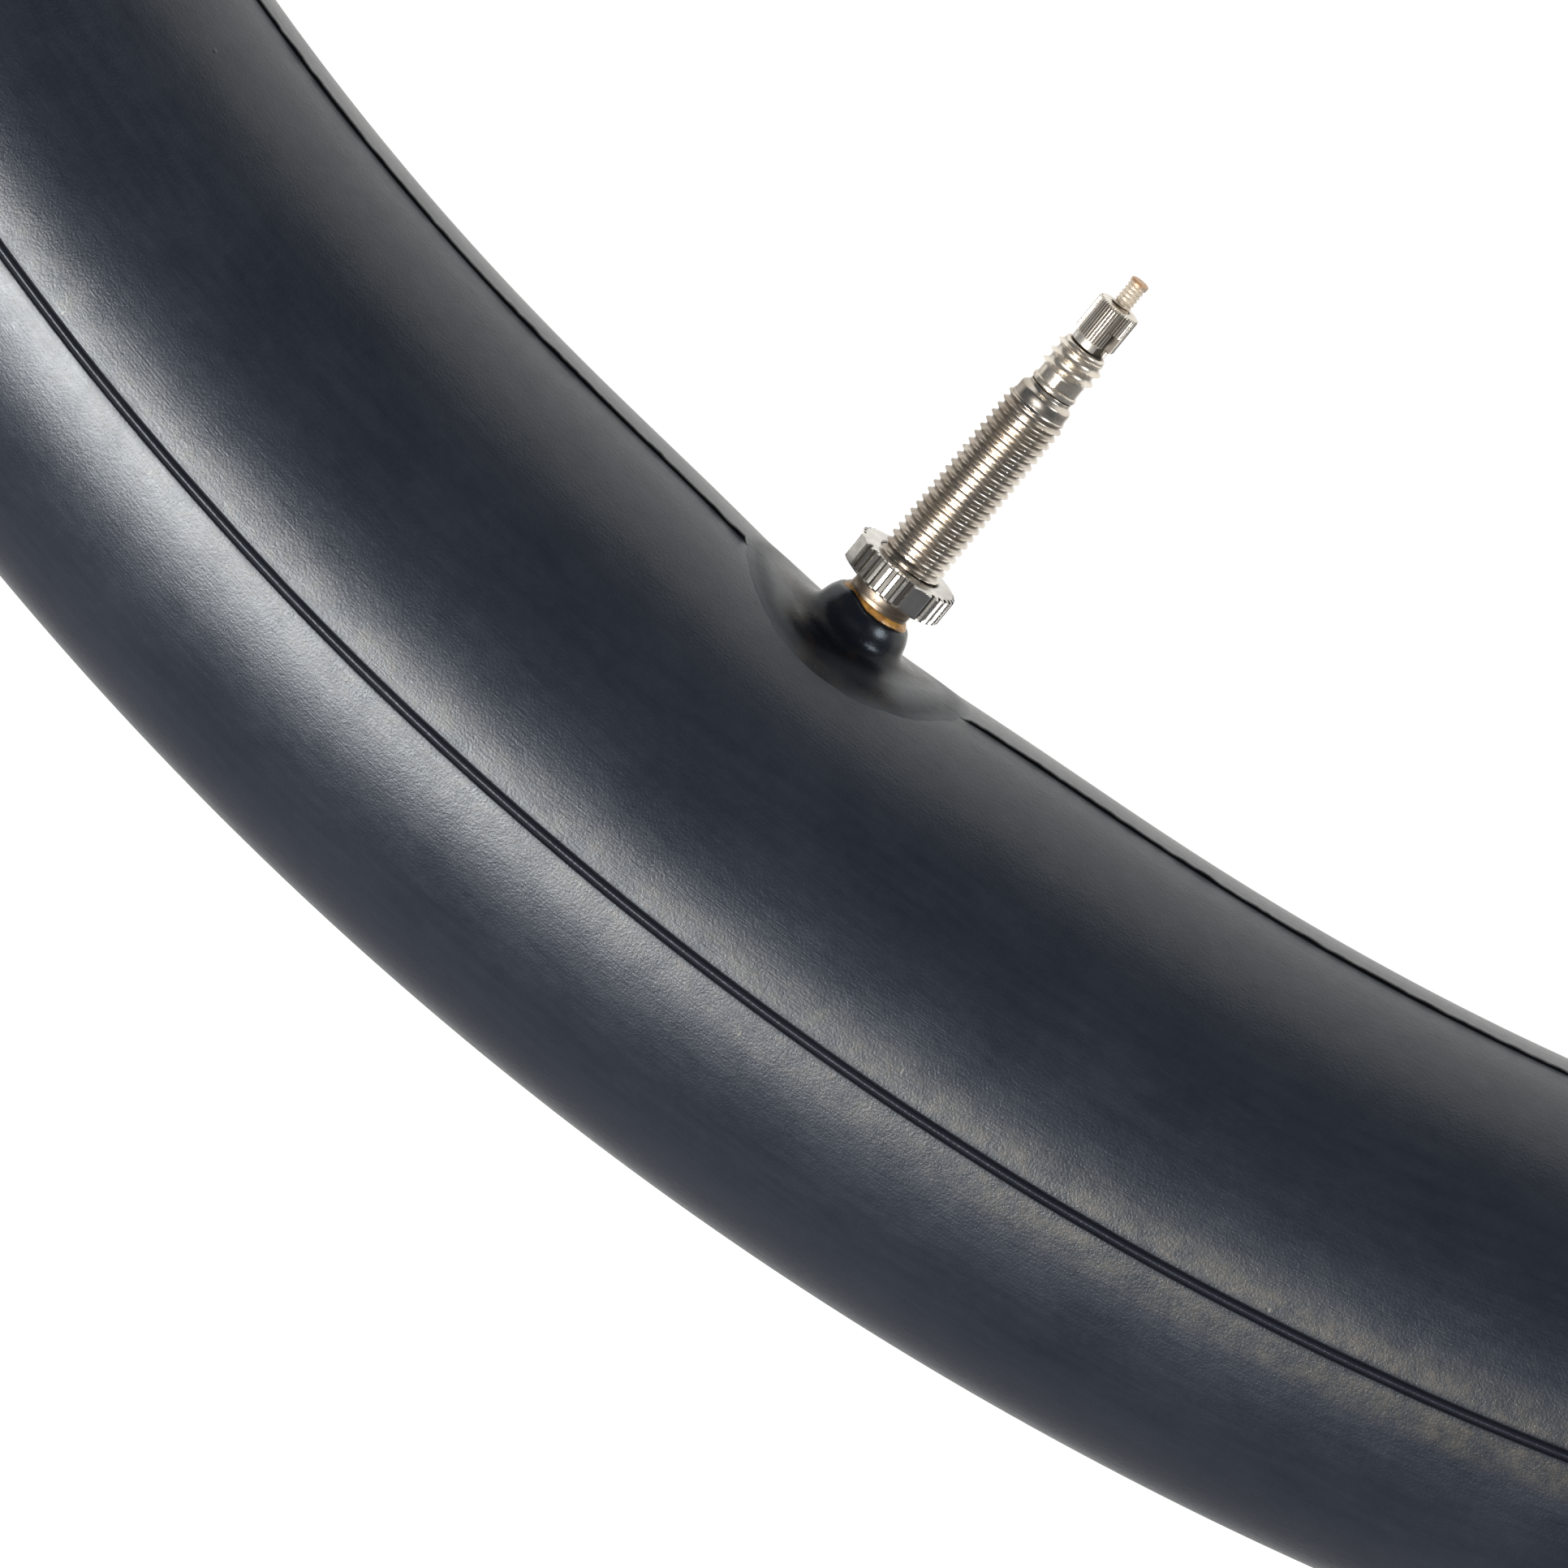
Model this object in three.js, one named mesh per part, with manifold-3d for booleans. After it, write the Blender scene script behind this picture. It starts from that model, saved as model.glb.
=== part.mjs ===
// Bicycle inner tube with a threaded Presta valve, in millimetres.
// The ring lies flat: its axis is +Z and its centre is the origin.
// The valve stands on the inner side of the ring at +Y and points to the centre, along -Y.
import * as THREE from 'three';
import { mergeVertices } from 'three/addons/utils/BufferGeometryUtils.js';
import Module from 'manifold-3d';

const wasm = await Module();
wasm.setup();

// ---- Driving dimensions ----
const RING_RADIUS = 278; // ring axis to the middle of the tube's section
const SECTION_RADIUS = 24.4; // outside radius of the inflated section
const WALL = 0.6; // rubber wall when inflated
const RING_SIDES = 80;
const SECTION_SIDES = 20;

const BOND_GAP = 0.3; // between bonded or resting pieces
const RUNNING_GAP = 0.1; // radial, between a thread and its nut, or a pin and its bore
const VALVE_SIDES = 32;
const CORE_SIDES = 20;

// Heights are measured along the valve. The rubber it is bonded to lies at VALVE_SINK.
const VALVE_SINK = 0.8;
const TUBE_HOLE_RADIUS = 2.5;
const PAD_RADIUS = 12.2;
const PAD_THICKNESS = 0.8;
const BOSS_TOP = 3.3;
const AIR_HOLE_RADIUS = 1.3;

const STEM_FOOT = { radius: 3.35, bottom: 1.75, top: 2.15 };
const STEM_RADIUS = 2.96; // crest of the M6 x 0.8 thread
const STEM_THREAD_TOP = 25.8;
const STEM_COLLAR = { radius: 2.6, top: 27.0 };
const STEM_LIP = { radius: 2.09, bottom: 27.4, top: 27.7 };
const STEM_BORE = { air: 1.1, chamber: 1.5, core: 1.75 };
const CHAMBER_BOTTOM = 9;
const GASKET_SEAT = 15.6;

const BEAD = { outer: 3.45, top: 4.05, topRadius: 3.2 };

const RIM_NUT = { bottom: 5.2, top: 8.2, radius: 5.05, valley: 4.85, teeth: 36 };
const RIM_NUT_FACE = { lower: 4.1, upper: 4.2 }; // radius of the two flat faces
const RIM_NUT_COUNTERSINK = 3.65; // clears the boss and the bead, so the lower face can seat
const RIM_NUT_CHAMFER = 0.4;
const RIM_NUT_FLAT = { across: 9.72, angle: 119 }; // four flats, 90 degrees apart

const CORE_RING = { radius: 2.21, bottom: 28, top: 28.35 };
const CORE_NECK_RADIUS = 2.03;
const CORE_FLATS = { across: 3.76, top: 29.3, angle: 114 };
const CAP_THREAD = { radius: 2.45, bottom: 29.4, top: 31.9 }; // crest of the 5 mm cap thread
const CORE_TOP = { radius: 1.97, height: 32.5 };
const CORE_SCREW = { radius: 1.64, bottom: 18 };
const CORE_TAIL = { radius: 1.05, bottom: 14.6 };
const CORE_BORE = { radius: 0.75, mouth: 0.97, mouthBottom: 30 };

const GASKET = { inner: 1.15, outer: 1.6, bottom: 15.9, top: 17.7 };

const PIN_THREAD = { radius: 0.87, bottom: 33, top: 39.9 };
const PIN_SHANK_RADIUS = 0.5;
const PIN_FOOT = { radius: 0.9, bottom: 12, top: 12.45 };
const SEAL = { radius: 1.3, bottom: 13.5, top: 14.3 };
const RETAINER = { radius: 1.25, bottom: 12.7, top: 13.3 };
const SEAL_HOLE_RADIUS = 0.6;

const CORE_NUT = { bottom: 32.8, skirtTop: 33.4, knurlTop: 36.8, top: 37.1 };
const CORE_NUT_RADIUS = { skirt: 1.7, knurl: 2.03, valley: 1.9, face: 1.75 };
const CORE_NUT_TEETH = 45;
const CORE_NUT_SLOT = { width: 1.45, height: 2.2, depthRadius: 1.25, angle: 136 };

const radians = THREE.MathUtils.degToRad;

// ---- Solids ----

// A closed three.js geometry as a solid, with its shared vertices merged.
function solid(geometry) {
  geometry.deleteAttribute('normal');
  geometry.deleteAttribute('uv');
  const merged = mergeVertices(geometry);
  const corners = merged.index.array;
  const triVerts = [];
  for (let i = 0; i < corners.length; i += 3) {
    const [a, b, c] = corners.subarray(i, i + 3);
    if (a !== b && b !== c && c !== a) triVerts.push(a, b, c);
  }
  const mesh = new wasm.Mesh({
    numProp: 3,
    vertProperties: new Float32Array(merged.attributes.position.array),
    triVerts: new Uint32Array(triVerts),
  });
  mesh.merge();
  return new wasm.Manifold(mesh);
}

function geometryOf(body) {
  const { vertProperties, triVerts } = body.getMesh();
  const geometry = new THREE.BufferGeometry();
  geometry.setAttribute('position', new THREE.BufferAttribute(vertProperties, 3));
  geometry.setIndex(new THREE.BufferAttribute(triVerts, 1));
  geometry.computeVertexNormals();
  return geometry;
}

// Turns an outline of [radius, height] corners about +Z. The outline runs anticlockwise,
// and closes on itself or on the axis.
function turned(outline, sides, start = 0) {
  const points = outline.map(([radius, height]) => new THREE.Vector2(radius, height));
  return new THREE.LatheGeometry(points, sides, start, 2 * Math.PI).rotateX(Math.PI / 2);
}

function disc(radius, bottom, top, sides) {
  return turned([[0, bottom], [radius, bottom], [radius, top], [0, top]], sides);
}

function washer(inner, outer, bottom, top, sides) {
  const corners = [[inner, bottom], [outer, bottom], [outer, top], [inner, top]];
  return turned([...corners, corners[0]], sides);
}

// The whole ring as a solid of a given section radius. A flat side of the section faces
// each of +Z, -Z and the valve, and the flats of the ring face +X, -X, +Y and -Y.
function ringSolid(sectionRadius) {
  const corner = sectionRadius / Math.cos(Math.PI / SECTION_SIDES);
  const stretch = 1 / Math.cos(Math.PI / RING_SIDES);
  const outline = [];
  for (let i = 0; i <= SECTION_SIDES; i += 1) {
    const angle = ((i + 0.5) * 2 * Math.PI) / SECTION_SIDES;
    const radius = (RING_RADIUS + corner * Math.cos(angle)) * stretch;
    outline.push([radius, corner * Math.sin(angle)]);
  }
  return solid(turned(outline, RING_SIDES, Math.PI / RING_SIDES));
}

// A block to cut away what lies farther than `distance` from the valve's axis, facing `angle`.
function sideCut(angle, distance, width, bottom, top) {
  const depth = 10;
  const block = new THREE.BoxGeometry(depth, width, top - bottom);
  block.translate(distance + depth / 2, 0, (bottom + top) / 2);
  return solid(block.rotateZ(radians(angle)));
}

// A prism whose outline has one ridge for each tooth. `land` is the share of a pitch that
// the crest and the root each take.
function knurledPrism(teeth, crest, valley, land, bottom, top) {
  const pitch = (2 * Math.PI) / teeth;
  const outline = new THREE.Shape();
  for (let i = 0; i < teeth; i += 1) {
    const middle = i * pitch;
    const corners = [
      [crest, middle - (land * pitch) / 2],
      [crest, middle + (land * pitch) / 2],
      [valley, middle + pitch / 2 - (land * pitch) / 2],
      [valley, middle + pitch / 2 + (land * pitch) / 2],
    ];
    for (const [radius, angle] of corners) {
      const x = radius * Math.cos(angle);
      const y = radius * Math.sin(angle);
      if (outline.curves.length === 0 && outline.currentPoint.length() === 0) outline.moveTo(x, y);
      else outline.lineTo(x, y);
    }
  }
  outline.closePath();
  const prism = new THREE.ExtrudeGeometry(outline, { depth: top - bottom, bevelEnabled: false });
  return solid(prism.translate(0, 0, bottom));
}

// ---- The rubber ----

function tubeBody(toRing) {
  const shell = ringSolid(SECTION_RADIUS).subtract(ringSolid(SECTION_RADIUS - WALL));
  const hole = disc(TUBE_HOLE_RADIUS, -5, 5, VALVE_SIDES).applyMatrix4(toRing);
  return geometryOf(shell.subtract(solid(hole)));
}

// The round pad is bonded over the hole in the tube, and its boss holds the foot of the stem.
function valveBase(toRing) {
  const lift = BOND_GAP + PAD_THICKNESS;
  const column = disc(PAD_RADIUS, -5, 5, 40);
  const pad = solid(column.applyMatrix4(toRing)).intersect(ringSolid(SECTION_RADIUS + lift));
  const boss = turned([
    [0, -1], [5.2, -1], [5.2, 1.5], [4.6, 1.95], [4.17, 2.3],
    [3.92, 2.8], [3.6, 3.2], [3.5, BOSS_TOP], [0, BOSS_TOP],
  ], VALVE_SIDES);
  const collar = STEM_FOOT.top + BOND_GAP;
  const socket = turned([
    [0, -2], [AIR_HOLE_RADIUS, -2],
    [AIR_HOLE_RADIUS, STEM_FOOT.bottom - BOND_GAP],
    [STEM_FOOT.radius + BOND_GAP, STEM_FOOT.bottom - BOND_GAP],
    [STEM_FOOT.radius + BOND_GAP, collar],
    [STEM_RADIUS + BOND_GAP, collar],
    [STEM_RADIUS + BOND_GAP, 5], [0, 5],
  ], VALVE_SIDES);
  const base = pad.add(solid(boss.applyMatrix4(toRing)));
  const onTube = base.subtract(ringSolid(SECTION_RADIUS + BOND_GAP));
  return geometryOf(onTube.subtract(solid(socket.applyMatrix4(toRing))));
}

// ---- The valve, along its own +Z ----

function valveStem() {
  const { air, chamber, core } = STEM_BORE;
  const outline = [
    [air, STEM_FOOT.bottom], [STEM_FOOT.radius, STEM_FOOT.bottom],
    [STEM_FOOT.radius, STEM_FOOT.top], [STEM_RADIUS, STEM_FOOT.top],
    [STEM_RADIUS, STEM_THREAD_TOP], [STEM_COLLAR.radius, STEM_THREAD_TOP + 0.2],
    [STEM_COLLAR.radius, STEM_COLLAR.top], [STEM_LIP.radius, STEM_LIP.bottom],
    [STEM_LIP.radius, STEM_LIP.top], [core, STEM_LIP.top],
    [core, GASKET_SEAT], [chamber, GASKET_SEAT],
    [chamber, CHAMBER_BOTTOM], [air, CHAMBER_BOTTOM],
  ];
  return geometryOf(solid(turned([...outline, outline[0]], VALVE_SIDES)));
}

function bondingBead() {
  const inner = STEM_RADIUS + RUNNING_GAP;
  const bottom = BOSS_TOP + BOND_GAP;
  const outline = [
    [inner, bottom], [BEAD.outer, bottom], [BEAD.topRadius, BEAD.top], [inner, BEAD.top],
  ];
  return geometryOf(solid(turned([...outline, outline[0]], VALVE_SIDES)));
}

function rimNut() {
  const { bottom, top, radius, valley, teeth } = RIM_NUT;
  const ridges = knurledPrism(teeth, radius, valley, 0.3, bottom, top);
  const chamfered = turned([
    [0, bottom], [RIM_NUT_FACE.lower, bottom], [radius + 0.1, bottom + RIM_NUT_CHAMFER],
    [radius + 0.1, top - RIM_NUT_CHAMFER], [RIM_NUT_FACE.upper, top], [0, top],
  ], VALVE_SIDES);
  const boreRadius = STEM_RADIUS + RUNNING_GAP;
  const bore = disc(boreRadius, bottom - 1, top + 1, VALVE_SIDES);
  const countersink = turned([
    [0, bottom - 1], [RIM_NUT_COUNTERSINK, bottom - 1], [RIM_NUT_COUNTERSINK, bottom],
    [boreRadius, bottom + RIM_NUT_COUNTERSINK - boreRadius],
    [0, bottom + RIM_NUT_COUNTERSINK - boreRadius],
  ], VALVE_SIDES);
  let nut = ridges.intersect(solid(chamfered)).subtract(solid(bore)).subtract(solid(countersink));
  for (let quarter = 0; quarter < 4; quarter += 1) {
    const angle = RIM_NUT_FLAT.angle + quarter * 90;
    nut = nut.subtract(sideCut(angle, RIM_NUT_FLAT.across / 2, 4, bottom - 1, top + 1));
  }
  return geometryOf(nut);
}

function coreBody() {
  const outline = [
    [CORE_BORE.radius, CORE_TAIL.bottom], [CORE_TAIL.radius, CORE_TAIL.bottom],
    [CORE_TAIL.radius, CORE_SCREW.bottom], [CORE_SCREW.radius, CORE_SCREW.bottom],
    [CORE_SCREW.radius, CORE_RING.bottom], [CORE_RING.radius, CORE_RING.bottom],
    [CORE_RING.radius, CORE_RING.top], [CORE_NECK_RADIUS, CORE_RING.top],
    [CORE_NECK_RADIUS, CAP_THREAD.bottom - 0.2], [CAP_THREAD.radius, CAP_THREAD.bottom],
    [CAP_THREAD.radius, CAP_THREAD.top], [CORE_NECK_RADIUS, CAP_THREAD.top + 0.2],
    [CORE_TOP.radius, CORE_TOP.height], [CORE_BORE.mouth, CORE_TOP.height],
    [CORE_BORE.mouth, CORE_BORE.mouthBottom], [CORE_BORE.radius, CORE_BORE.mouthBottom],
  ];
  let core = solid(turned([...outline, outline[0]], VALVE_SIDES));
  for (const side of [0, 180]) {
    const angle = CORE_FLATS.angle + side;
    core = core.subtract(sideCut(angle, CORE_FLATS.across / 2, 6, CORE_RING.top, CORE_FLATS.top));
  }
  return geometryOf(core);
}

function coreGasket() {
  return geometryOf(solid(washer(GASKET.inner, GASKET.outer, GASKET.bottom, GASKET.top, CORE_SIDES)));
}

function valvePin() {
  return geometryOf(solid(turned([
    [0, PIN_FOOT.bottom], [PIN_FOOT.radius, PIN_FOOT.bottom], [PIN_FOOT.radius, PIN_FOOT.top],
    [PIN_SHANK_RADIUS, PIN_FOOT.top], [PIN_SHANK_RADIUS, PIN_THREAD.bottom - 0.4],
    [PIN_THREAD.radius, PIN_THREAD.bottom], [PIN_THREAD.radius, PIN_THREAD.top - 0.15],
    [PIN_THREAD.radius - 0.15, PIN_THREAD.top], [0, PIN_THREAD.top],
  ], CORE_SIDES)));
}

function pinSeal() {
  return geometryOf(solid(washer(SEAL_HOLE_RADIUS, SEAL.radius, SEAL.bottom, SEAL.top, CORE_SIDES)));
}

function sealRetainer() {
  const { radius, bottom, top } = RETAINER;
  return geometryOf(solid(washer(SEAL_HOLE_RADIUS, radius, bottom, top, CORE_SIDES)));
}

function coreNut() {
  const { bottom, skirtTop, knurlTop, top } = CORE_NUT;
  const { skirt, knurl, valley, face } = CORE_NUT_RADIUS;
  const ridges = knurledPrism(CORE_NUT_TEETH, knurl, valley, 0.15, bottom, top);
  const outside = turned([
    [0, bottom], [skirt, bottom], [skirt, skirtTop - 0.1], [knurl + 0.1, skirtTop + 0.1],
    [knurl + 0.1, knurlTop], [face, top], [0, top],
  ], VALVE_SIDES);
  const bore = disc(PIN_THREAD.radius + RUNNING_GAP, bottom - 1, top + 1, CORE_SIDES);
  let nut = ridges.intersect(solid(outside)).subtract(solid(bore));
  const { width, height, depthRadius, angle } = CORE_NUT_SLOT;
  for (const side of [0, 180]) {
    nut = nut.subtract(sideCut(angle + side, depthRadius, width, bottom - 1, bottom + height));
  }
  return geometryOf(nut);
}

// ---- Materials and assembly ----

function part(name, geometry, color, roughness, metalness) {
  const material = new THREE.MeshStandardMaterial({ color, roughness, metalness });
  const mesh = new THREE.Mesh(geometry, material);
  mesh.name = name;
  return mesh;
}

const rubber = (name, geometry) => part(name, geometry, 0x2a2e37, 0.5, 0);
const nickel = (name, geometry) => part(name, geometry, 0xb9b2a6, 0.25, 1);

const valve = new THREE.Group();
valve.position.set(0, RING_RADIUS - SECTION_RADIUS + VALVE_SINK, 0);
valve.rotation.x = Math.PI / 2; // the valve's own +Z becomes -Y
valve.updateMatrix();

valve.add(
  nickel('valve_stem', valveStem()),
  part('bonding_bead', bondingBead(), 0xc78a3c, 0.4, 0),
  nickel('rim_nut', rimNut()),
  nickel('core_body', coreBody()),
  part('core_gasket', coreGasket(), 0x8c2f22, 0.6, 0),
  part('valve_pin', valvePin(), 0xc9b27e, 0.3, 1),
  part('pin_seal', pinSeal(), 0x1c1c1e, 0.7, 0),
  part('seal_retainer', sealRetainer(), 0xb8924a, 0.3, 1),
  nickel('core_nut', coreNut()),
);

const innerTube = new THREE.Group();
innerTube.add(
  rubber('tube_body', tubeBody(valve.matrix)),
  rubber('valve_base', valveBase(valve.matrix)),
  valve,
);

export default innerTube;
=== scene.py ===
"""The looks of a bicycle inner tube with a threaded Presta valve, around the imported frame.

Lengths in this script are millimetres until mesh_object() turns them into metres. The ring's
axis is Z. The valve has its own frame: a radius and an angle round its axis and h, the height
along it, where h points to the ring's centre. valve_point() gives the place in the ring's frame.
"""
import math

import bpy
import numpy as np
from mathutils import Matrix, Vector, noise


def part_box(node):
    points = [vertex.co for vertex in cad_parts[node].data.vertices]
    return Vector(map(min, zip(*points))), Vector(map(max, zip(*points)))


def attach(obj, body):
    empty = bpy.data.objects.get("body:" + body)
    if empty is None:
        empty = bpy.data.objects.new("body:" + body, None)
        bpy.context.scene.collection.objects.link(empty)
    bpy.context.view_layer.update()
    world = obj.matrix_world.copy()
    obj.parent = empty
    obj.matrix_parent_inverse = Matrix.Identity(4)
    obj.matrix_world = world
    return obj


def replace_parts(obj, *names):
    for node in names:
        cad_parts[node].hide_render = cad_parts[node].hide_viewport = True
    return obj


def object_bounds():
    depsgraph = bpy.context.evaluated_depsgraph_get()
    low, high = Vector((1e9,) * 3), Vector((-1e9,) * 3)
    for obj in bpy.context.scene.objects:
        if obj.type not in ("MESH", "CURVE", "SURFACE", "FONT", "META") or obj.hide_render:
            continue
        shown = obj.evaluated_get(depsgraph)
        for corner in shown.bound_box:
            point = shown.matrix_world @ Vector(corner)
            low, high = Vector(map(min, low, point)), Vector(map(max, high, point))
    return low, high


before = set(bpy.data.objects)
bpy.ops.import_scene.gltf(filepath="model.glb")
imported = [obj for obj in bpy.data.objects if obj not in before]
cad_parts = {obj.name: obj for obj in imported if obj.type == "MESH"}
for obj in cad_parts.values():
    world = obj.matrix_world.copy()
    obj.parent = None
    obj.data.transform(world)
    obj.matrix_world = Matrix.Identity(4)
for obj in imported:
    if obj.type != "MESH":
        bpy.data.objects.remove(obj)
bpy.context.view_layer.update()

MM = 0.001
TAU = 2 * math.pi

# ---- Sizes from the frame ----
tube_low, tube_high = (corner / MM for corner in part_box("tube_body"))
SKIN = 0.6  # the round skin swells this far past the frame's flat facets
OUTSIDE = tube_high.y + SKIN  # outside radius of the ring
SECTION = tube_high.z + SKIN / 2  # radius of the section
INSIDE = OUTSIDE - 2 * SECTION  # inside radius of the ring
NUT_BOTTOM = 5.2
VALVE_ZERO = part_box("rim_nut")[1].y / MM + NUT_BOTTOM  # where h is 0 on the Y axis
PIN_TIP = VALVE_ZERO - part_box("valve_pin")[0].y / MM
CORE_TOP = VALVE_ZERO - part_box("core_body")[0].y / MM

# ---- The ring ----
SWELLING = 0.018  # how much thicker the section is at the valve, and thinner away from it
SWELL_SPREAD = math.radians(13)
LEAN, LEAN_SPREAD = 1.9, math.radians(30)  # the ring bends a little off its circle by the valve
DENT = 1.5  # the rubber is drawn in around the valve's boss
DENT_LENGTH, DENT_WIDTH = 13.5, 12.0
NEAR_VALVE = 22  # degrees each side of the valve where the skin's rows are close together
RIB_ANGLE = math.radians(87.9)  # round the section, from the outside of the ring
LOWER_RIB_ANGLE = math.radians(267.9)
FIN_ANGLE = math.radians(174.4)
PARTING_ANGLE = math.radians(357)
PARTING_HEIGHT, PARTING_SPREAD = 0.06, 0.25
RIB_HALF_WIDTH, RIB_HEIGHT = 0.39, 0.13
RIB_GROOVE = 0.11  # depth of the fine groove on each side of a rib
FIN_HEIGHT, FIN_GAP = 0.32, 11.9  # the mould fin stops at the pad
# Across the fin: where its outline bends, and the share of its height there.
FIN_BENDS, FIN_SHARES = [-0.9, -0.5, -0.3, -0.22, 0.22, 0.28, 0.6], [0, 0.1, 0.3, 1, 1, 0.1, 0]
SPLICE_HEIGHT = 0.22
SPLICE_START, SPLICE_END = 1.6, 1.1  # degrees from the middle of the splice
PAD_RADIUS, PAD_HEIGHT = 12.2, 0.14
PAD_STEP, PAD_TUCK = 0.03, 0.01  # the pad's edge stands up by the one and dips by the other
PAD_SHARES = 1.0, 0.98, 0.95, 0.91, 0.86, 0.8, 0.72, 0.62, 0.5, 0.38, 0.26, 0.14, 0.0


def smooth_step(low, high, value):
    t = np.clip((value - low) / (high - low), 0, 1)
    return t * t * (3 - 2 * t)


def off_angle(angle, centre):
    return np.arctan2(np.sin(angle - centre), np.cos(angle - centre))


def wobble(values, seed, octaves=3):
    """Seeded noise along a line, about -1 to 1."""
    return np.array([
        noise.fractal((float(v), seed, 0.37 * seed), 1.0, 2.0, octaves) for v in values
    ])


def mesh_object(name, points, faces, body, sharp):
    """A smooth-shaded piece from points in millimetres, riding on a body."""
    mesh = bpy.data.meshes.new(name)
    mesh.from_pydata((np.asarray(points) * MM).tolist(), [], faces)
    mesh.polygons.foreach_set("use_smooth", [True] * len(mesh.polygons))
    mesh.set_sharp_from_angle(angle=math.radians(sharp))
    mesh.update()
    piece = bpy.data.objects.new(name, mesh)
    bpy.context.scene.collection.objects.link(piece)
    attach(piece, body)
    return piece


def grid_faces(rows, columns, close_rows=False):
    """Quads of a grid whose columns close into a loop."""
    last = rows if close_rows else rows - 1
    faces = []
    for i in range(last):
        here, there = i * columns, ((i + 1) % rows) * columns
        for j in range(columns):
            k = (j + 1) % columns
            faces.append((here + j, here + k, there + k, there + j))
    return faces


def set_attribute(piece, name, values):
    attribute = piece.data.attributes.new(name, "FLOAT", "POINT")
    attribute.data.foreach_set("value", np.asarray(values, np.float32))


# ---- Rubber surface ----

def section_at(along):
    """Radius of the section, and of the ring through its middle, at an angle from the valve."""
    along = off_angle(along, 0)
    radius = SECTION * (1 + SWELLING * (2 * np.exp(-((along / SWELL_SPREAD) ** 2)) - 1))
    lean = LEAN * np.sin(along) * np.exp(-((along / LEAN_SPREAD) ** 2))
    return radius, OUTSIDE - radius - lean


def rubber_point(along, around, lift=0.0):
    """A point of the tube. along is the angle from the valve, around is the one in the section."""
    radius, middle = section_at(along)
    inner = off_angle(around, math.pi) * SECTION
    across = along * INSIDE
    dent = DENT * np.exp(-((across / DENT_LENGTH) ** 2) - (inner / DENT_WIDTH) ** 2)
    reach = radius - dent + lift
    out = middle + reach * np.cos(around)
    return np.stack([-out * np.sin(along), out * np.cos(along), reach * np.sin(around)], -1)


def fine_samples(centre, offsets):
    return [centre + offset / SECTION for offset in offsets]


def rib_relief(distance):
    """Height of a moulded rib, a low crest between two fine grooves, and how dark to paint it: painted
    shade in the grooves and just beside them, and a darker crest.
    """
    t = np.abs(distance)
    lift = RIB_HEIGHT * np.cos(np.clip(t / RIB_HALF_WIDTH, 0, 1) * math.pi / 2) ** 2
    lift -= RIB_GROOVE * np.exp(-(((t - RIB_HALF_WIDTH) / 0.1) ** 2))
    groove = np.exp(-(((t - RIB_HALF_WIDTH) / 0.13) ** 2))
    crest = 0.35 * (t < RIB_HALF_WIDTH)
    verge = 0.4 * (1 - smooth_step(0.42, 1.1, t))
    return lift, np.maximum.reduce([groove, crest, verge])


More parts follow.
